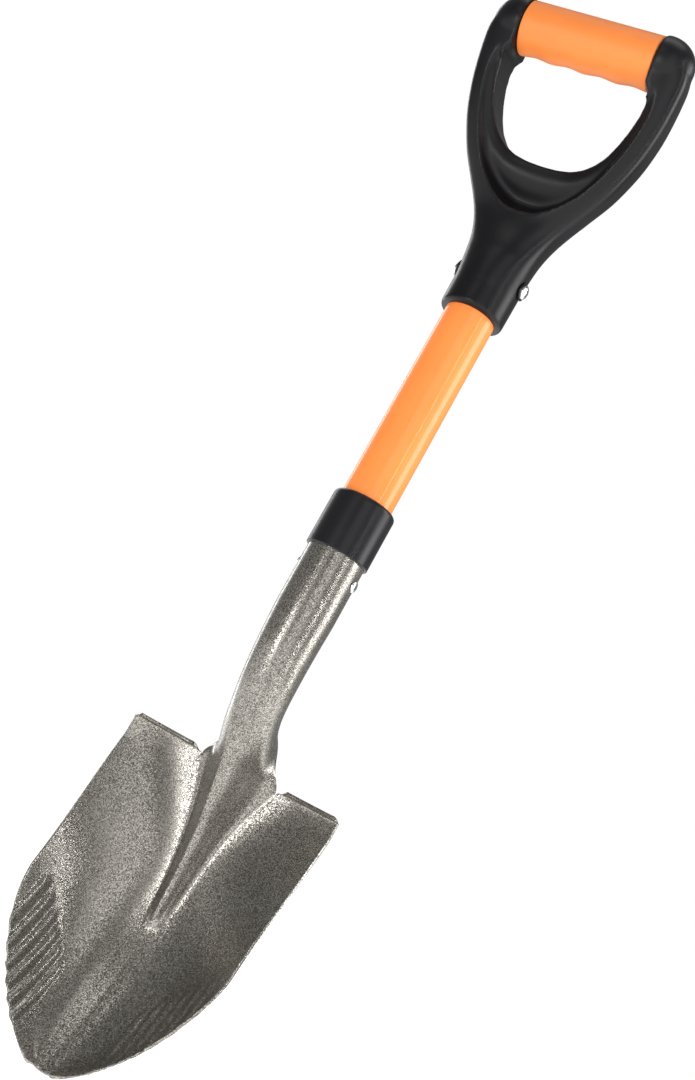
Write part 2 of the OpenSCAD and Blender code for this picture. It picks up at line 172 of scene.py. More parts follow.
def shapedGrid(name, columns, rows, place, closed=False):
    # a grid primitive whose points are moved into place; a closed one is a tube with filled ends
    deselectAll()
    bpy.ops.mesh.primitive_grid_add(x_subdivisions=columns, y_subdivisions=rows, size=1)
    piece = bpy.context.object
    piece.name = name
    for vertex in piece.data.vertices:
        j = round((vertex.co.x + 0.5) * columns)
        i = round((0.5 - vertex.co.y) * rows)
        vertex.co = place(i, j)
    if closed:
        def close():
            bpy.ops.mesh.select_all(action="SELECT")
            bpy.ops.mesh.remove_doubles(threshold=1e-5)
            bpy.ops.mesh.fill_holes(sides=0)
            bpy.ops.mesh.select_all(action="SELECT")
            bpy.ops.mesh.normals_make_consistent(inside=False)
        inEditMode(piece, close)
    return piece


def turnedPiece(name, outline, sides, axisPoint, axis):
    # spins an outline of (radius, height) points round an axis
    deselectAll()
    bpy.ops.mesh.primitive_plane_add(size=1)
    piece = bpy.context.object
    piece.name = name
    axis = Vector(axis).normalized()
    outward = axis.orthogonal().normalized()
    points = [Vector(axisPoint) + outward * r + axis * h for r, h in outline]
    piece.data.clear_geometry()
    piece.data.from_pydata(points, [(k, k + 1) for k in range(len(points) - 1)], [])

    def spin():
        bpy.ops.mesh.select_all(action="SELECT")
        bpy.ops.mesh.spin(steps=sides, angle=2 * math.pi, center=axisPoint, axis=axis)
        bpy.ops.mesh.select_all(action="SELECT")
        bpy.ops.mesh.remove_doubles(threshold=1e-5)
        bpy.ops.mesh.normals_make_consistent(inside=False)
    inEditMode(piece, spin)
    return piece


def finishPiece(piece, material, slotName, *nodes, angle=35):
    pick(piece)
    bpy.ops.object.shade_smooth_by_angle(angle=math.radians(angle))
    piece.data.materials.clear()
    piece.data.materials.append(material)
    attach(piece, "root")
    if nodes:
        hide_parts(*nodes)


# shader groups that several finishes share
def makeGroup(name, inputs, outputs):
    group = bpy.data.node_groups.new(name, "ShaderNodeTree")
    for label, kind, value in inputs:
        socket = group.interface.new_socket(name=label, in_out="INPUT", socket_type=kind)
        if value is not None:
            socket.default_value = value
    for label, kind in outputs:
        group.interface.new_socket(name=label, in_out="OUTPUT", socket_type=kind)
    return group, group.nodes.new("NodeGroupInput"), group.nodes.new("NodeGroupOutput")


def addNode(tree, kind, inputs=None, **values):
    node = tree.nodes.new(kind)
    for key, value in values.items():
        setattr(node, key, value)
    for key, value in (inputs or {}).items():
        if isinstance(value, bpy.types.NodeSocket):
            tree.links.new(value, node.inputs[key])
        else:
            node.inputs[key].default_value = value
    return node


def flakeGroup():
    # metal flakes in a coat: each cell has its own brightness and tilt
    group, source, result = makeGroup(
        "metalFlakes",
        [("Vector", "NodeSocketVector", None), ("Scale", "NodeSocketFloat", 1500.0),
         ("Tilt", "NodeSocketFloat", 0.3), ("Contrast", "NodeSocketFloat", 1.0)],
        [("Flake", "NodeSocketFloat"), ("Normal", "NodeSocketVector")])
    cells = addNode(group, "ShaderNodeTexVoronoi", {"Vector": source.outputs["Vector"],
                                                    "Scale": source.outputs["Scale"]})
    parts = addNode(group, "ShaderNodeSeparateColor", {"Color": cells.outputs["Color"]})
    power = addNode(group, "ShaderNodeMath", {0: parts.outputs["Red"], 1: source.outputs["Contrast"]},
                    operation="POWER")
    centred = addNode(group, "ShaderNodeVectorMath", {0: cells.outputs["Color"], 1: (0.5, 0.5, 0.5)},
                      operation="SUBTRACT")
    tilted = addNode(group, "ShaderNodeVectorMath", {0: centred.outputs["Vector"],
                                                     "Scale": source.outputs["Tilt"]}, operation="SCALE")
    surface = addNode(group, "ShaderNodeNewGeometry")
    summed = addNode(group, "ShaderNodeVectorMath", {0: surface.outputs["Normal"],
                                                     1: tilted.outputs["Vector"]})
    unit = addNode(group, "ShaderNodeVectorMath", {0: summed.outputs["Vector"]}, operation="NORMALIZE")
    group.links.new(power.outputs["Value"], result.inputs["Flake"])
    group.links.new(unit.outputs["Vector"], result.inputs["Normal"])
    return group


def grainGroup():
    # fine moulded grain with slow patches in it
    group, source, result = makeGroup(
        "mouldedGrain",
        [("Vector", "NodeSocketVector", None), ("Scale", "NodeSocketFloat", 2500.0),
         ("Patch Scale", "NodeSocketFloat", 40.0)],
        [("Height", "NodeSocketFloat"), ("Patch", "NodeSocketFloat")])
    fine = addNode(group, "ShaderNodeTexNoise", {"Vector": source.outputs["Vector"],
                                                 "Scale": source.outputs["Scale"], "Detail": 3.0})
    slow = addNode(group, "ShaderNodeTexNoise", {"Vector": source.outputs["Vector"],
                                                 "Scale": source.outputs["Patch Scale"], "Detail": 4.0})
    group.links.new(fine.outputs["Fac"], result.inputs["Height"])
    group.links.new(slow.outputs["Fac"], result.inputs["Patch"])
    return group


metalFlakes = flakeGroup()
mouldedGrain = grainGroup()


def newMaterial(name):
    material = bpy.data.materials.new(name)
    material.use_nodes = True
    tree = material.node_tree
    shader = tree.nodes["Principled BSDF"]
    place = addNode(tree, "ShaderNodeTexCoord")
    return material, tree, shader, place.outputs["Object"]


def placeGroup(tree, group, inputs):
    node = addNode(tree, "ShaderNodeGroup", node_tree=group)
    for key, value in inputs.items():
        if isinstance(value, bpy.types.NodeSocket):
            tree.links.new(value, node.inputs[key])
        else:
            node.inputs[key].default_value = value
    return node


def spread(tree, value, low, high, fromLow=0.0, fromHigh=1.0):
    node = addNode(tree, "ShaderNodeMapRange", {"Value": value, "From Min": fromLow, "From Max": fromHigh,
                                                "To Min": low, "To Max": high})
    return node.outputs["Result"]


def blendColours(tree, mask, first, second):
    node = addNode(tree, "ShaderNodeMix", data_type="RGBA")
    tree.links.new(mask, node.inputs["Factor"])
    for index, value in ((6, first), (7, second)):
        if isinstance(value, bpy.types.NodeSocket):
            tree.links.new(value, node.inputs[index])
        else:
            node.inputs[index].default_value = (*value, 1)
    return node.outputs[2]


coatLook = {
    "dark": (0.055, 0.047, 0.038),
    "light": (0.42, 0.40, 0.36),
    "flakeScale": 2200.0,
    "tilt": 0.11,
    "contrast": 1.3,
    "peelScale": 900.0,
    "peelStrength": 0.10,
    "roughFlake": 0.22,
    "roughGround": 0.34,
    "metallic": 0.8,
    "gloss": 0.35,
    "glossRough": 0.22,
    "patchScale": 22.0,
}


def hammeredCoat():
    material, tree, shader, place = newMaterial("hammered_coat")
    flakes = placeGroup(tree, metalFlakes, {"Vector": place, "Scale": coatLook["flakeScale"],
                                            "Tilt": coatLook["tilt"], "Contrast": coatLook["contrast"]})
    grain = placeGroup(tree, mouldedGrain, {"Vector": place, "Scale": coatLook["peelScale"],
                                            "Patch Scale": coatLook["patchScale"]})
    coat = blendColours(tree, flakes.outputs["Flake"], coatLook["dark"], coatLook["light"])
    shade = spread(tree, grain.outputs["Patch"], 0.9, 1.1, 0.3, 0.7)
    shaded = addNode(tree, "ShaderNodeVectorMath", {0: coat, "Scale": shade}, operation="SCALE")
    tree.links.new(shaded.outputs["Vector"], shader.inputs["Base Color"])
    rough = spread(tree, flakes.outputs["Flake"], coatLook["roughGround"], coatLook["roughFlake"])
    tree.links.new(rough, shader.inputs["Roughness"])
    shader.inputs["Metallic"].default_value = coatLook["metallic"]
    shader.inputs["Coat Weight"].default_value = coatLook["gloss"]
    shader.inputs["Coat Roughness"].default_value = coatLook["glossRough"]
    bump = addNode(tree, "ShaderNodeBump", {"Height": grain.outputs["Height"],
                                            "Normal": flakes.outputs["Normal"],
                                            "Strength": coatLook["peelStrength"], "Distance": 0.0003})
    tree.links.new(bump.outputs["Normal"], shader.inputs["Normal"])
    return material


def plasticLook(name, dark, light, roughLow, roughHigh, grainScale, bumpStrength, coat=0.0, coatRough=0.1,
                specular=0.5):
    material, tree, shader, place = newMaterial(name)
    grain = placeGroup(tree, mouldedGrain, {"Vector": place, "Scale": grainScale, "Patch Scale": 35.0})
    colour = blendColours(tree, spread(tree, grain.outputs["Patch"], 0.0, 1.0, 0.3, 0.7), dark, light)
    tree.links.new(colour, shader.inputs["Base Color"])
    tree.links.new(spread(tree, grain.outputs["Patch"], roughLow, roughHigh, 0.3, 0.7),
                   shader.inputs["Roughness"])
    shader.inputs["Coat Weight"].default_value = coat
    shader.inputs["Coat Roughness"].default_value = coatRough
    shader.inputs["Specular IOR Level"].default_value = specular
    bump = addNode(tree, "ShaderNodeBump", {"Height": grain.outputs["Height"], "Strength": bumpStrength,
                                            "Distance": 0.0001})
    tree.links.new(bump.outputs["Normal"], shader.inputs["Normal"])
    return material


def platedSteel(name, colour, rough):
    material, tree, shader, place = newMaterial(name)
    grain = placeGroup(tree, mouldedGrain, {"Vector": place, "Scale": 1800.0, "Patch Scale": 300.0})
    dull = tuple(c * 0.8 for c in colour)
    tree.links.new(blendColours(tree, grain.outputs["Patch"], dull, colour), shader.inputs["Base Color"])
    tree.links.new(spread(tree, grain.outputs["Patch"], rough * 0.7, rough * 1.5, 0.3, 0.7),
                   shader.inputs["Roughness"])
    shader.inputs["Metallic"].default_value = 1.0
    bump = addNode(tree, "ShaderNodeBump", {"Height": grain.outputs["Height"], "Strength": 0.1,
                                            "Distance": 0.0001})
    tree.links.new(bump.outputs["Normal"], shader.inputs["Normal"])
    return material


bladeCoat = hammeredCoat()
shaftGloss = plasticLook("shaft_gloss", (0.86, 0.235, 0.045), (0.90, 0.255, 0.052), 0.40, 0.46, 900.0, 0.03,
                         coat=0.35, coatRough=0.06, specular=0.3)
gripRubber = plasticLook("grip_rubber", (0.70, 0.185, 0.026), (0.76, 0.205, 0.031), 0.46, 0.56,
                         2600.0, 0.12)
blackMoulding = plasticLook("black_moulding", (0.0045, 0.0045, 0.0055), (0.006, 0.006, 0.007), 0.30, 0.38,
                            2400.0, 0.10, specular=0.2)
ferruleBlack = plasticLook("ferrule_black", (0.006, 0.006, 0.0075), (0.008, 0.008, 0.0095), 0.30, 0.38,
                           2200.0, 0.10, specular=0.25)
plugNylon = plasticLook("plug_nylon", (0.62, 0.58, 0.48), (0.68, 0.64, 0.53), 0.42, 0.55, 1200.0, 0.08)
zincPlate = platedSteel("zinc_plate", (0.70, 0.71, 0.72), 0.2)
darkPlate = platedSteel("blackened_plate", (0.03, 0.03, 0.033), 0.35)
print("finishes made")


# the blade is one pressed sheet, given in mm from the foot steps, with the shaft's axis at 0
bladeShape = {
    "length": 184.0,
    "width": 140.0,
    "sheet": 1.7,
    "noseLength": 88.0,
    "cornerShare": 0.7,       # the last row's end, of the nose's half width
    "noseWidth": 0.945,       # of the width at the steps
    "nosePower": 1.55,
    "tipRound": 11.0,
    "floorY": 32.5,
    "floorStart": -60.0,
    "dishDepth": 41.0,
    "dishPower": 1.6,
    "heelPower": 2.2,
    "powerFade": 50.0,        # below the floor's start the heel's power comes back
    "edgeAhead": 6.5,         # how far the side edges come in front of the dish's depth
    "tipBack": 4.0,
    "edgeHeelY": 21.0,
    "edgeBendZ": -10.0,
    "edgeRise": 0.335,
    "edgeSoft": 5.0,
    "socketWidth": 36.0,
    "socketTop": 166.0,
    "seamHalf": 0.9,
    "bendZ": 98.0,
    "ridgeCount": 6,
    "ridgePitch": 5.9,
    "ridgeHeight": 1.3,
    "ridgeStartX": 24.6,
    "ridgeTopZ": -138.0,
    "ridgeStagger": 1.2,
    "ridgeLead": 5.0,
    "stepLength": 2.0,
    "stepRadius": 2.4,
    "stepTurn": 80.0,
    "stepRound": 4,           # rows of the grid in the step's bend
    "stepInnerX": 28.0,
    "stepInnerFade": 6.0,
    "stepOuterFade": 7.0,
    "stepOuterPast": 1.5,
    "stepLeastTurn": 0.15,
    "roundBow": 1.17,         # length of a curve's end directions against its chord
    "crestBow": 0.55,         # the same at the frog's crest, which is tighter
    "crestFade": 50.0,        # the crest is as round as the sides this far up the neck
}
heelHalf = bladeShape["width"] / 2
noseHalf = heelHalf * bladeShape["noseWidth"]
noseZ = bladeShape["noseLength"] - bladeShape["length"]
edgeFrontY = bladeShape["floorY"] - bladeShape["dishDepth"] - bladeShape["edgeAhead"]
tipY = edgeFrontY + bladeShape["tipBack"]
socketR = (bladeShape["socketWidth"] - bladeShape["sheet"]) / 2
seamX = bladeShape["seamHalf"] + bladeShape["sheet"] / 2
crestH = bladeShape["floorY"] + socketR
backH = bladeShape["floorY"] - socketR

# z, crest height, side x, side height, side angle, edge x, edge height, edge angle
frogStations = [
    (170, crestH, socketR, bladeShape["floorY"], 90, seamX, backH, 180),
    (98, crestH, socketR, bladeShape["floorY"], 90, seamX, backH, 180),
    (84, crestH - 0.3, socketR - 0.5, bladeShape["floorY"] - 0.2, 90, seamX, backH, 180),
    (70, 48.6, 16.1, 31.6, 90, seamX, 15.0, 180),
    (53, 46, 15.4, 29.5, 90, seamX, 13.3, 178),
    (38, 42.5, 14.6, 27, 88, 6.5, 9.5, 140),
    (23, 38, 14.2, 22.8, 80, 14.5, 5, 92),
    (11, 33, 12.8, 18.4, 66, 19, 2, 58),
    (0, 27.5, 10.6, 13.8, 54, 25.5, 0, 8),
    (-21, 19.5, 8.6, 9.4, 50, 18, 0, 0),
    (-38, 12.8, 6.6, 6.0, 46, 13.5, 0, 0),
    (-58, 9, 4.9, 4.1, 42, 10, 0, 0),
    (-74, 6.8, 3.8, 3.1, 38, 8, 0, 0),
    (-84, 5.0, 3.2, 2.1, 32, 7, 0, 0),
    (-90, 2.0, 2.8, 0.8, 14, 6.4, 0, 0),
    (-94, 0, 3, 0, 0, 6, 0, 0),
    (-190, 0, 3, 0, 0, 6, 0, 0),
]
bladeGrid = {
    "frog": 16,
    "wing": 62,
    "wideShare": 0.14,        # this share of the wing's columns, beside the frog, is set wider
    "wideStretch": 2.1,
    "straight": 6,
    "neck": 44,
    "steps": 7,
    "upper": 34,
    "nose": 64,
}
neckRows = bladeGrid["straight"] + bladeGrid["neck"]
rowCount = neckRows + bladeGrid["upper"] + bladeGrid["nose"]
colCount = 2 * (bladeGrid["frog"] + bladeGrid["wing"])


def dishFloor(z):
    if z > bladeShape["floorStart"]:
        return bladeShape["floorY"]
    t = (bladeShape["floorStart"] - z) / (bladeShape["floorStart"] + bladeShape["length"])
    return mix(bladeShape["floorY"], tipY, t * t)


def sideEdge(z):
    t = bladeShape["edgeHeelY"] - edgeFrontY + bladeShape["edgeRise"] * min(0, z - bladeShape["edgeBendZ"])
    return edgeFrontY + (t + math.hypot(t, bladeShape["edgeSoft"])) / 2


def superArc(t):
    # height of the nose's outline where it is t of its half width away from the middle
    return max(0.0, 1 - t ** bladeShape["nosePower"]) ** (1 / bladeShape["nosePower"])


def halfWidth(z):
    if z >= noseZ:
        return mix(noseHalf, heelHalf, ease((z - noseZ) / -noseZ))
    return noseHalf * superArc((noseZ - z) / bladeShape["noseLength"])


def outlineZ(x):
    soft = bladeShape["tipRound"]**2
    bow = bladeShape["nosePower"] / 2
    drop = ((x * x + soft)**bow - soft**bow) / ((noseHalf**2 + soft)**bow - soft**bow)
    return noseZ - bladeShape["noseLength"] * max(0.0, 1 - drop)**(0.5 / bow)


cornerX = bladeShape["cornerShare"] * noseHalf
cornerZ = outlineZ(cornerX)


def ridgeHeight(x, z):
    across = (abs(x) - bladeShape["ridgeStartX"]) / bladeShape["ridgePitch"]
    if across < 0 or across > bladeShape["ridgeCount"]:
        return 0.0
    top = bladeShape["ridgeTopZ"] + bladeShape["ridgeStagger"] * (abs(x) - bladeShape["ridgeStartX"])
    begin = ease((top - z) / bladeShape["ridgeLead"])
    return bladeShape["ridgeHeight"] * begin * (1 - math.cos(2 * math.pi * across)) / 2


def dishY(x, z, foot):
    # round at the steps, nearly straight sided beside the frog, and round again in the point
    w = max(foot + 1, halfWidth(z))
    share = clamp01((abs(x) - foot) / (w - foot))
    down = ease(z / bladeShape["floorStart"])
    back = ease((bladeShape["floorStart"] - z) / bladeShape["powerFade"])
    bow = mix(bladeShape["heelPower"], bladeShape["dishPower"], down * (1 - back))
    return mix(dishFloor(z), sideEdge(z), share ** bow) - ridgeHeight(x, z)


def rowZ(i):
    if i <= bladeGrid["straight"]:
        return mix(bladeShape["socketTop"], bladeShape["bendZ"], i / bladeGrid["straight"])
    if i <= neckRows:
        return mix(bladeShape["bendZ"], 0, (i - bladeGrid["straight"]) / bladeGrid["neck"])
    if i <= neckRows + bladeGrid["upper"]:
        return mix(0, noseZ, (i - neckRows) / bladeGrid["upper"])
    return mix(noseZ, cornerZ, (i - neckRows - bladeGrid["upper"]) / bladeGrid["nose"])


def bentZ(i, x):
    z = rowZ(i)
    if i <= neckRows:
        return z
    bend = ((i - neckRows) / (rowCount - neckRows)) ** 2
    return z + bend * (outlineZ(cornerX * x / halfWidth(z)) - cornerZ)


def frogPoint(i, share, side):
    z = rowZ(i)
    value = frogStations[0][1:]
    if z < bladeShape["bendZ"]:
        value = [track(frogStations, c, z) for c in range(1, 8)]
    crest, sideX, sideH, sideTurn, edgeX, edgeH, edgeTurn = value
    p = Vector((0, -crest))
    s = Vector((sideX, -sideH))
    q = Vector((edgeX, -edgeH))
    bow = mix(bladeShape["crestBow"], bladeShape["roundBow"], ease(z / bladeShape["crestFade"]))
    upper = bow * (s - p).length
    lower = bladeShape["roundBow"] * (q - s).length
    out = Vector((math.cos(math.radians(sideTurn)), math.sin(math.radians(sideTurn))))
    end = Vector((math.cos(math.radians(edgeTurn)), math.sin(math.radians(edgeTurn))))
    if share < 0.5:
        f = hermite(p, Vector((upper, 0)), s, out * upper, share * 2)
    else:
        f = hermite(s, out * lower, q, end * lower, share * 2 - 1)
    bent = bentZ(i, f.x)
    return Vector((side * f.x, dishFloor(bent) + f.y, bent))


def wingShare(n):
    # the columns stand closer together where the ridges are
    wide = bladeGrid["wideShare"]
    stretch = bladeGrid["wideStretch"]
    t = n / bladeGrid["wing"]
    return stretch * t if t < wide else mix(stretch * wide, 1, (t - wide) / (1 - wide))


def wingPoint(i, share, side):
    z = rowZ(i)
    foot = track(frogStations, 5, z)
    x = mix(foot, halfWidth(z), share)
    bent = bentZ(i, x)
    return Vector((side * x, dishY(x, bent, foot), bent))


def stepPoint(r, share, side):
    # the top of each wing turns forward into a foot step, which fades out at both ends
    start = wingPoint(neckRows, share, side)
    x = abs(start.x)
    fade = min(ease((x - bladeShape["stepInnerX"]) / bladeShape["stepInnerFade"]),
               ease((heelHalf + bladeShape["stepOuterPast"] - x) / bladeShape["stepOuterFade"]))
    bendRows = bladeShape["stepRound"]
    least = bladeShape["stepLeastTurn"]
    turn = math.radians(bladeShape["stepTurn"] * min(1, r / bendRows) * max(least, fade))
    run = max(0, r - bendRows) / (bladeGrid["steps"] - bendRows) * bladeShape["stepLength"] * fade
    forward = bladeShape["stepRadius"] * (1 - math.cos(turn)) + run * math.sin(turn)
    rise = bladeShape["stepRadius"] * math.sin(turn) + run * math.cos(turn)
    return start + Vector((0, -forward, rise))


def bladePoint(i, j):
    k = j - bladeGrid["frog"] - bladeGrid["wing"]
    side = -1 if k < 0 else 1
    n = abs(k)
    if n <= bladeGrid["frog"]:
        point = frogPoint(i, n / bladeGrid["frog"], side)
    elif i < neckRows:
        point = stepPoint(min(neckRows - i, bladeGrid["steps"]), wingShare(n - bladeGrid["frog"]), side)
    else:
        point = wingPoint(i, wingShare(n - bladeGrid["frog"]), side)
    return point * mm + steps


def inBlade(i, j):
    if i >= neckRows or bladeGrid["wing"] <= j < bladeGrid["wing"] + 2 * bladeGrid["frog"]:
        return True
    besideNeck = (bladeGrid["wing"] - 1, bladeGrid["wing"] + 2 * bladeGrid["frog"])
    return i >= neckRows - bladeGrid["steps"] and j not in besideNeck


def outsideBlade(face):
    # the grid's points run along its rows from the last one, so a face is found by its lowest point
    row, j = divmod(min(face.vertices), colCount + 1)
    return not inBlade(rowCount - row - 1, j)


def turnFacesOut():
    bpy.ops.mesh.select_all(action="SELECT")
    bpy.ops.mesh.normals_make_consistent(inside=False)


def makeBlade():
    piece = shapedGrid("blade_pressing", colCount, rowCount, bladePoint)
    selectFaces(piece, outsideBlade)
    inEditMode(piece, lambda: bpy.ops.mesh.delete(type="FACE"), "FACE")
    inEditMode(piece, turnFacesOut)
    applyModifier(piece, "SOLIDIFY", thickness=bladeShape["sheet"] * mm, offset=0.0, use_rim=True)
    applyModifier(piece, "BEVEL", width=0.4 * mm, segments=2, limit_method="ANGLE",
                  angle_limit=math.radians(50), harden_normals=False)
    finishPiece(piece, bladeCoat, "coated_steel", "blade", angle=60)
    print("blade:", len(piece.data.polygons), "faces")


makeBlade()


# the soft sleeve is round, with finger waves along its underside
gripShape = {"length": 85.5, "radius": 16.5, "waves": 4, "waveHeight": 1.0, "endRound": 0.9, "rings": 168,
             "sides": 96}

# the handle's yoke is built in the D's own plane: x, distance s up the D, depth d behind it
yokeShape = {
    "leanStart": 343.0,
    "rimZ": 302.0,
    "rimD": 40.8,
    "rimRound": 2.2,
    "boreR": 16.1,
    "voxel": 0.8,
    "smoothing": 20,
    "sides": 64,
    "rings": 150,
    "neckSoft": 16.0,         # how gently the neck bends forward
    "hollowRings": 100,
    "hollowSides": 25,
    "cutterReach": 40.0,      # how far the hollow's cutter stands out in front
    "openingReach": 45.0,
    "socketSwell": 0.4,
    "socketFull": 26.0,
    "socketInNeck": 38.0,
    "boreTop": 339.0,
    "shoulderRadius": 17.6,
    "shoulderMiddle": 46.0,
    "shoulderReach": 19.0,
}
leanPoint = steps + Vector((0, 0, yokeShape["leanStart"] * mm))
reachLine = Vector((0, gripAxis.y - leanPoint.y, gripAxis.z - leanPoint.z))
lean = math.atan2(-reachLine.y, reachLine.z)
alongD = Vector((0, -math.sin(lean), math.cos(lean)))
behindD = Vector((0, math.cos(lean), math.sin(lean)))


def onD(x, s, d):
    return leanPoint + (Vector((x, 0, 0)) + alongD * s + behindD * d) * mm


# outer shape: distance up the handle, half width, front depth, back depth, squareness, its rise at the back
outerStations = [
    (-28, 19.6, 19.6, 19.6, 2.0, 0),
    (-18, 20.5, 20.5, 20.5, 2.0, 0),
    (0, 21.9, 19.4, 21.0, 2.2, 0.2),
    (10, 23.4, 16.6, 21.6, 2.3, 0.6),
    (21, 27.0, 13.6, 22.6, 2.4, 1.2),
    (31, 32.0, 12.0, 22.6, 2.5, 1.9),
    (43, 39.4, 12.0, 21.8, 2.7, 2.4),
    (56, 47.4, 12.8, 20.8, 3.0, 2.8),
    (67, 52.6, 13.4, 20.2, 3.3, 2.8),
    (80, 57.6, 14.0, 19.4, 3.6, 2.6),
    (95, 61.4, 14.4, 18.6, 3.9, 2.2),
    (107, 63.4, 15.0, 17.8, 4.0, 1.6),
    (125, 65.0, 16.2, 16.8, 4.0, 0.5),
    (134, 64.8, 16.8, 16.8, 4.0, 0),
    (141, 62.8, 16.8, 16.8, 3.8, 0),
    (147, 58.6, 14.8, 14.8, 3.4, 0),
    (151, 53.0, 11.2, 11.2, 3.0, 0),
    (154, 46.5, 6.8, 6.8, 2.6, 0),
    (155.8, 40, 1.2, 1.2, 2.2, 0),
]
# half of the hollow's rim and of its inner edge: share, rim x, s, depth, inner edge x, s, depth, sag
hollowStations = [
    (0.0, 0, 31.0, -12.5, 0, 63.5, -1.5, 13.0),
    (0.1, 9, 32.0, -12.5, 10, 63.9, -1.6, 12.6),
    (0.2, 18, 37.0, -12.4, 20, 65.2, -2.0, 10.5),
    (0.3, 25.5, 43.5, -12.2, 28, 69.0, -3.2, 8.0),
    (0.4, 33.0, 52.0, -12.0, 34.4, 75.0, -4.6, 5.0),
    (0.52, 40.6, 65.5, -12.0, 39.0, 83.0, -6.0, 3.0),
    (0.64, 46.4, 79.5, -12.2, 42.4, 92.5, -7.2, 1.6),
    (0.76, 50.4, 93.5, -12.6, 45.4, 102, -8.2, 0.9),
    (0.88, 52.6, 108, -13.2, 48.6, 112, -10.0, 0.4),
    (1.0, 52.6, 124, -16.2, 51.0, 125, -16.0, 0),
]
# half of the hand opening's outline: x, s
openingHalf = [
    (0, 62.9), (10, 63.3), (19, 65.0), (26, 68.0), (32, 72.6), (37.2, 78.8), (41.2, 86.5), (44.4, 95.5),
    (46.6, 105), (47.4, 113), (46.8, 119.5), (43.2, 124), (43.0, 128), (43.0, 170),
]


def power(c, squareness):
    return math.copysign(abs(c) ** (2 / squareness), c)


def outerPoint(i, j):
    h = mix(outerStations[0][0], outerStations[-1][0], i / yokeShape["rings"])
    halfW, front, back, square, backRise = [track(outerStations, c, h) for c in range(1, 6)]
    r = math.hypot(h, yokeShape["neckSoft"])
    a = lean * (1 + h / r) / 2
    run = (h + r) / 2
    t = 2 * math.pi * j / yokeShape["sides"]
    if math.sin(t) > 0:
        square += backRise
    x = halfW * power(math.cos(t), square)
    d = (back if math.sin(t) > 0 else front) * power(math.sin(t), square)
    return leanPoint + mm * Vector((x, d * math.cos(a) - run * math.sin(lean),
                                    h - run * (1 - math.cos(lean)) + d * math.sin(a)))


def hollowPoint(i, j):
    # one section runs from the rim over the bottom to the inner edge, and back in the air in front
    t = mix(-1, 1, i / yokeShape["hollowRings"])
    side = -1 if t < 0 else 1
    rimX, rimS, rimD, inX, inS, inD, sag = [track(hollowStations, c, abs(t)) for c in range(1, 8)]
    lower = Vector((side * rimX, rimS))
    upper = Vector((side * inX, inS))
    across = upper - lower
    last = yokeShape["hollowSides"]
    inFront = -yokeShape["cutterReach"]
    if j == last or j == 0:
        near = lower - across * 0.12
        return onD(near.x, near.y, inFront)
    beyond = upper + across * 0.4
    if j == last - 1:
        return onD(beyond.x, beyond.y, inFront)
    if j == last - 2:
        return onD(beyond.x, beyond.y, inD - 0.2)
    k = (j - 1) / (last - 4)
    spot = lower + across * k
    steep = 1 - (1 - k) ** 2.6
    return onD(spot.x, spot.y, mix(rimD, inD, k) + sag * math.sin(math.pi * steep))


def openingPoint(i, j):
    outline = openingHalf + [(-x, s) for x, s in reversed(openingHalf[1:])]
    x, s = outline[j % len(outline)]
    return onD(x, s, mix(-yokeShape["openingReach"], yokeShape["openingReach"], i))


def shoulder(side):
    # turned about the grip's axis, with a domed outer end
    inner = gripShape["length"] / 2 + 0.1
    radius = yokeShape["shoulderRadius"]
    outline = [(0, inner), (radius - 0.6, inner), (radius, inner + 0.6)]
    for angle in range(0, 91, 6):
        turn = math.radians(angle)
        outline.append((radius * math.cos(turn),
                        yokeShape["shoulderMiddle"] + yokeShape["shoulderReach"] * math.sin(turn)))
    return turnedPiece("shoulder", [(r * mm, h * mm) for r, h in outline], 64, gripAxis, (side, 0, 0))


def socketPiece():
    r = yokeShape["rimD"] / 2
    rounding = [(r - yokeShape["rimRound"] * (1 - math.cos(math.radians(a))),
                 yokeShape["rimRound"] * (1 + math.sin(math.radians(a)))) for a in range(-90, 1, 10)]
    outline = [(0, 0)] + rounding
    outline += [(r + yokeShape["socketSwell"], yokeShape["socketFull"]),
                (r - 2, yokeShape["socketInNeck"]), (0, yokeShape["socketInNeck"])]
    foot = steps + Vector((0, 0, yokeShape["rimZ"] * mm))
    return turnedPiece("socket", [(a * mm, h * mm) for a, h in outline], 96, foot, (0, 0, 1))


def makeYoke():
    yoke = shapedGrid("handle_moulding", yokeShape["sides"], yokeShape["rings"], outerPoint, closed=True)
    hollow = shapedGrid("hollow", yokeShape["hollowSides"], yokeShape["hollowRings"], hollowPoint,
                        closed=True)
    opening = shapedGrid("opening", 2 * len(openingHalf) - 1, 1, openingPoint, closed=True)
    for cutter in (hollow, opening):
        applyModifier(yoke, "BOOLEAN", operation="DIFFERENCE", object=cutter, solver="EXACT")
        bpy.data.objects.remove(cutter)
    pick(yoke, socketPiece(), shoulder(-1), shoulder(1))
    bpy.ops.object.join()
    applyModifier(yoke, "REMESH", mode="VOXEL", voxel_size=yokeShape["voxel"] * mm, adaptivity=0.0)
    applyModifier(yoke, "SMOOTH", factor=0.5, iterations=yokeShape["smoothing"])
    deselectAll()
    boreLow = yokeShape["rimZ"] - 2
    boreHigh = yokeShape["boreTop"]
    middle = steps + Vector((0, 0, (boreLow + boreHigh) / 2 * mm))
    bpy.ops.mesh.primitive_cylinder_add(vertices=128, radius=yokeShape["boreR"] * mm,
                                        depth=(boreHigh - boreLow) * mm, location=middle)
    bore = bpy.context.object
    bore.name = "bore_cutter"
    applyModifier(yoke, "BOOLEAN", operation="DIFFERENCE", object=bore, solver="EXACT")
    bpy.data.objects.remove(bore)
    finishPiece(yoke, blackMoulding, "black_plastic", "handle_yoke", angle=50)
    print("yoke:", len(yoke.data.polygons), "faces")


makeYoke()


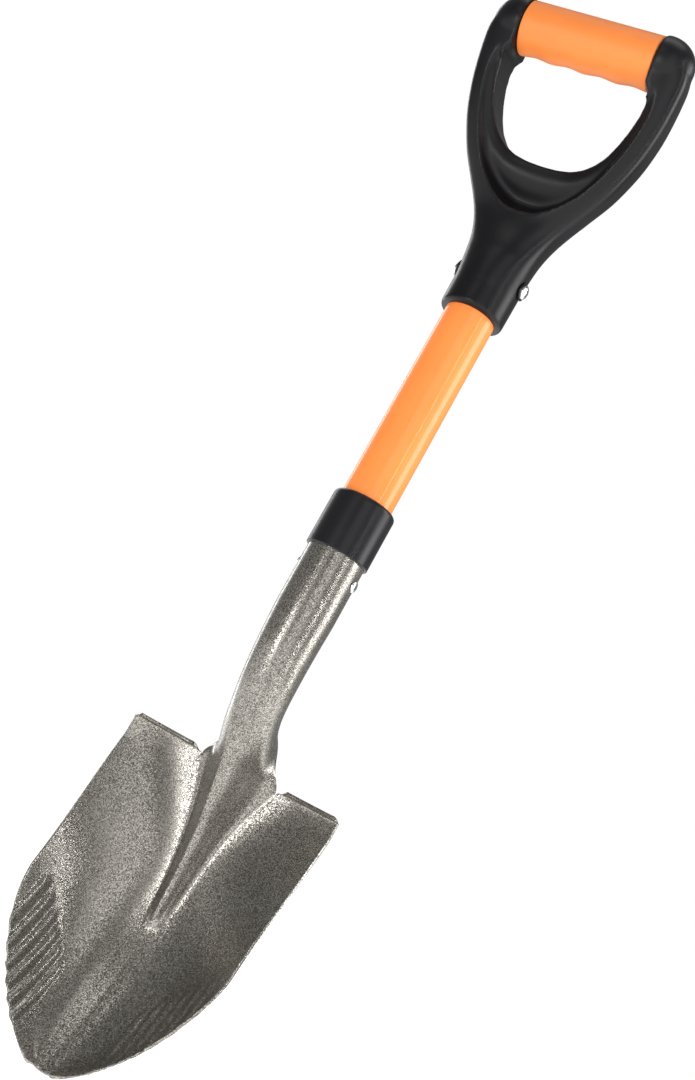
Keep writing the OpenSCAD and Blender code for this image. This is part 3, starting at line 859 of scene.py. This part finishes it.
# the sleeve's skin
def gripPoint(i, j):
    t = i / gripShape["rings"]
    x = (t - 0.5) * gripShape["length"]
    a = 2 * math.pi * j / gripShape["sides"]
    wave = gripShape["waveHeight"] * (1 - math.cos(2 * math.pi * gripShape["waves"] * t)) / 2
    fromEnd = gripShape["length"] / 2 - abs(x)
    endRound = gripShape["endRound"]
    corner = endRound - math.sqrt(max(0, endRound**2 - max(0, endRound - fromEnd)**2))
    r = gripShape["radius"] - wave * max(0.0, -math.cos(a))**2 - corner
    d = -r * math.sin(a)
    up = r * math.cos(a)
    return gripAxis + mm * (Vector((x, 0, 0)) + behindD * d + alongD * up)


def makeGrip():
    piece = shapedGrid("grip_moulding", gripShape["sides"], gripShape["rings"], gripPoint, closed=True)
    finishPiece(piece, gripRubber, "soft_grip", "grip_sleeve", angle=50)
    print("grip:", len(piece.data.polygons), "faces")


makeGrip()


for name, material in (("shaft", shaftGloss), ("ferrule", ferruleBlack), ("lower_core_plug", plugNylon),
                       ("upper_core_plug", plugNylon), ("screw_washer_left", darkPlate),
                       ("screw_washer_right", darkPlate), ("handle_screw_left", zincPlate),
                       ("handle_screw_right", zincPlate), ("socket_rivet", zincPlate)):
    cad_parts[name].data.materials.clear()
    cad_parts[name].data.materials.append(material)
print("carried pieces finished")


# pale floor, soft studio light
studio = {
    "floorDrop": 0.02,
    "floorSize": 12.0,
    "key": {"at": (-0.42, -1.70, -0.46), "size": (0.40, 0.55), "power": 7.0},
    "upper": {"at": (-0.45, -1.50, 0.80), "size": (0.45, 0.45), "power": 1.8},
    "front": {"at": (0.95, -1.65, 0.1), "size": (1.0, 1.3), "power": 6.0},
    "strip": {"at": (1.40, -0.55, 0.0), "size": (0.06, 1.9), "power": 6.0},
    "left": {"at": (-1.3, 0.9, 0.2), "size": (0.4, 1.8), "power": 9.0},
    "rear": {"at": (1.45, 0.55, 0.3), "size": (0.7, 1.6), "power": 22.0},
    "top": {"at": (0.0, -0.4, 1.6), "size": (1.4, 0.8), "power": 8.0},
    "world": 0.25,
}


def makeStudio():
    low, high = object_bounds()
    deselectAll()
    bpy.ops.mesh.primitive_plane_add(size=studio["floorSize"], location=(0, 0, low.z - studio["floorDrop"]))
    floor = bpy.context.object
    floor.name = "floor"
    material, tree, shader, place = newMaterial("pale_floor")
    shader.inputs["Base Color"].default_value = (0.92, 0.92, 0.92, 1)
    shader.inputs["Roughness"].default_value = 0.9
    shader.inputs["Emission Color"].default_value = (1, 1, 1, 1)
    shader.inputs["Emission Strength"].default_value = 1.0
    floor.data.materials.append(material)
    for name in ("key", "upper", "front", "strip", "left", "rear", "top"):
        lamp = studio[name]
        bpy.ops.object.light_add(type="AREA", location=lamp["at"])
        light = bpy.context.object
        light.name = name + "_light"
        light.data.shape = "RECTANGLE"
        light.data.size, light.data.size_y = lamp["size"]
        light.data.energy = lamp["power"]
        light.rotation_euler = (viewTarget - light.location).to_track_quat("-Z", "Y").to_euler()
    world = bpy.data.worlds.new("studio")
    bpy.context.scene.world = world
    world.use_nodes = True
    sky = world.node_tree.nodes["Background"]
    rays = addNode(world.node_tree, "ShaderNodeLightPath")
    seen = spread(world.node_tree, rays.outputs["Is Camera Ray"], studio["world"], 1.0)
    world.node_tree.links.new(seen, sky.inputs["Strength"])
    sky.inputs["Color"].default_value = (1, 1, 1, 1)
    bpy.context.scene.view_settings.view_transform = "Standard"


makeStudio()
print("studio made")
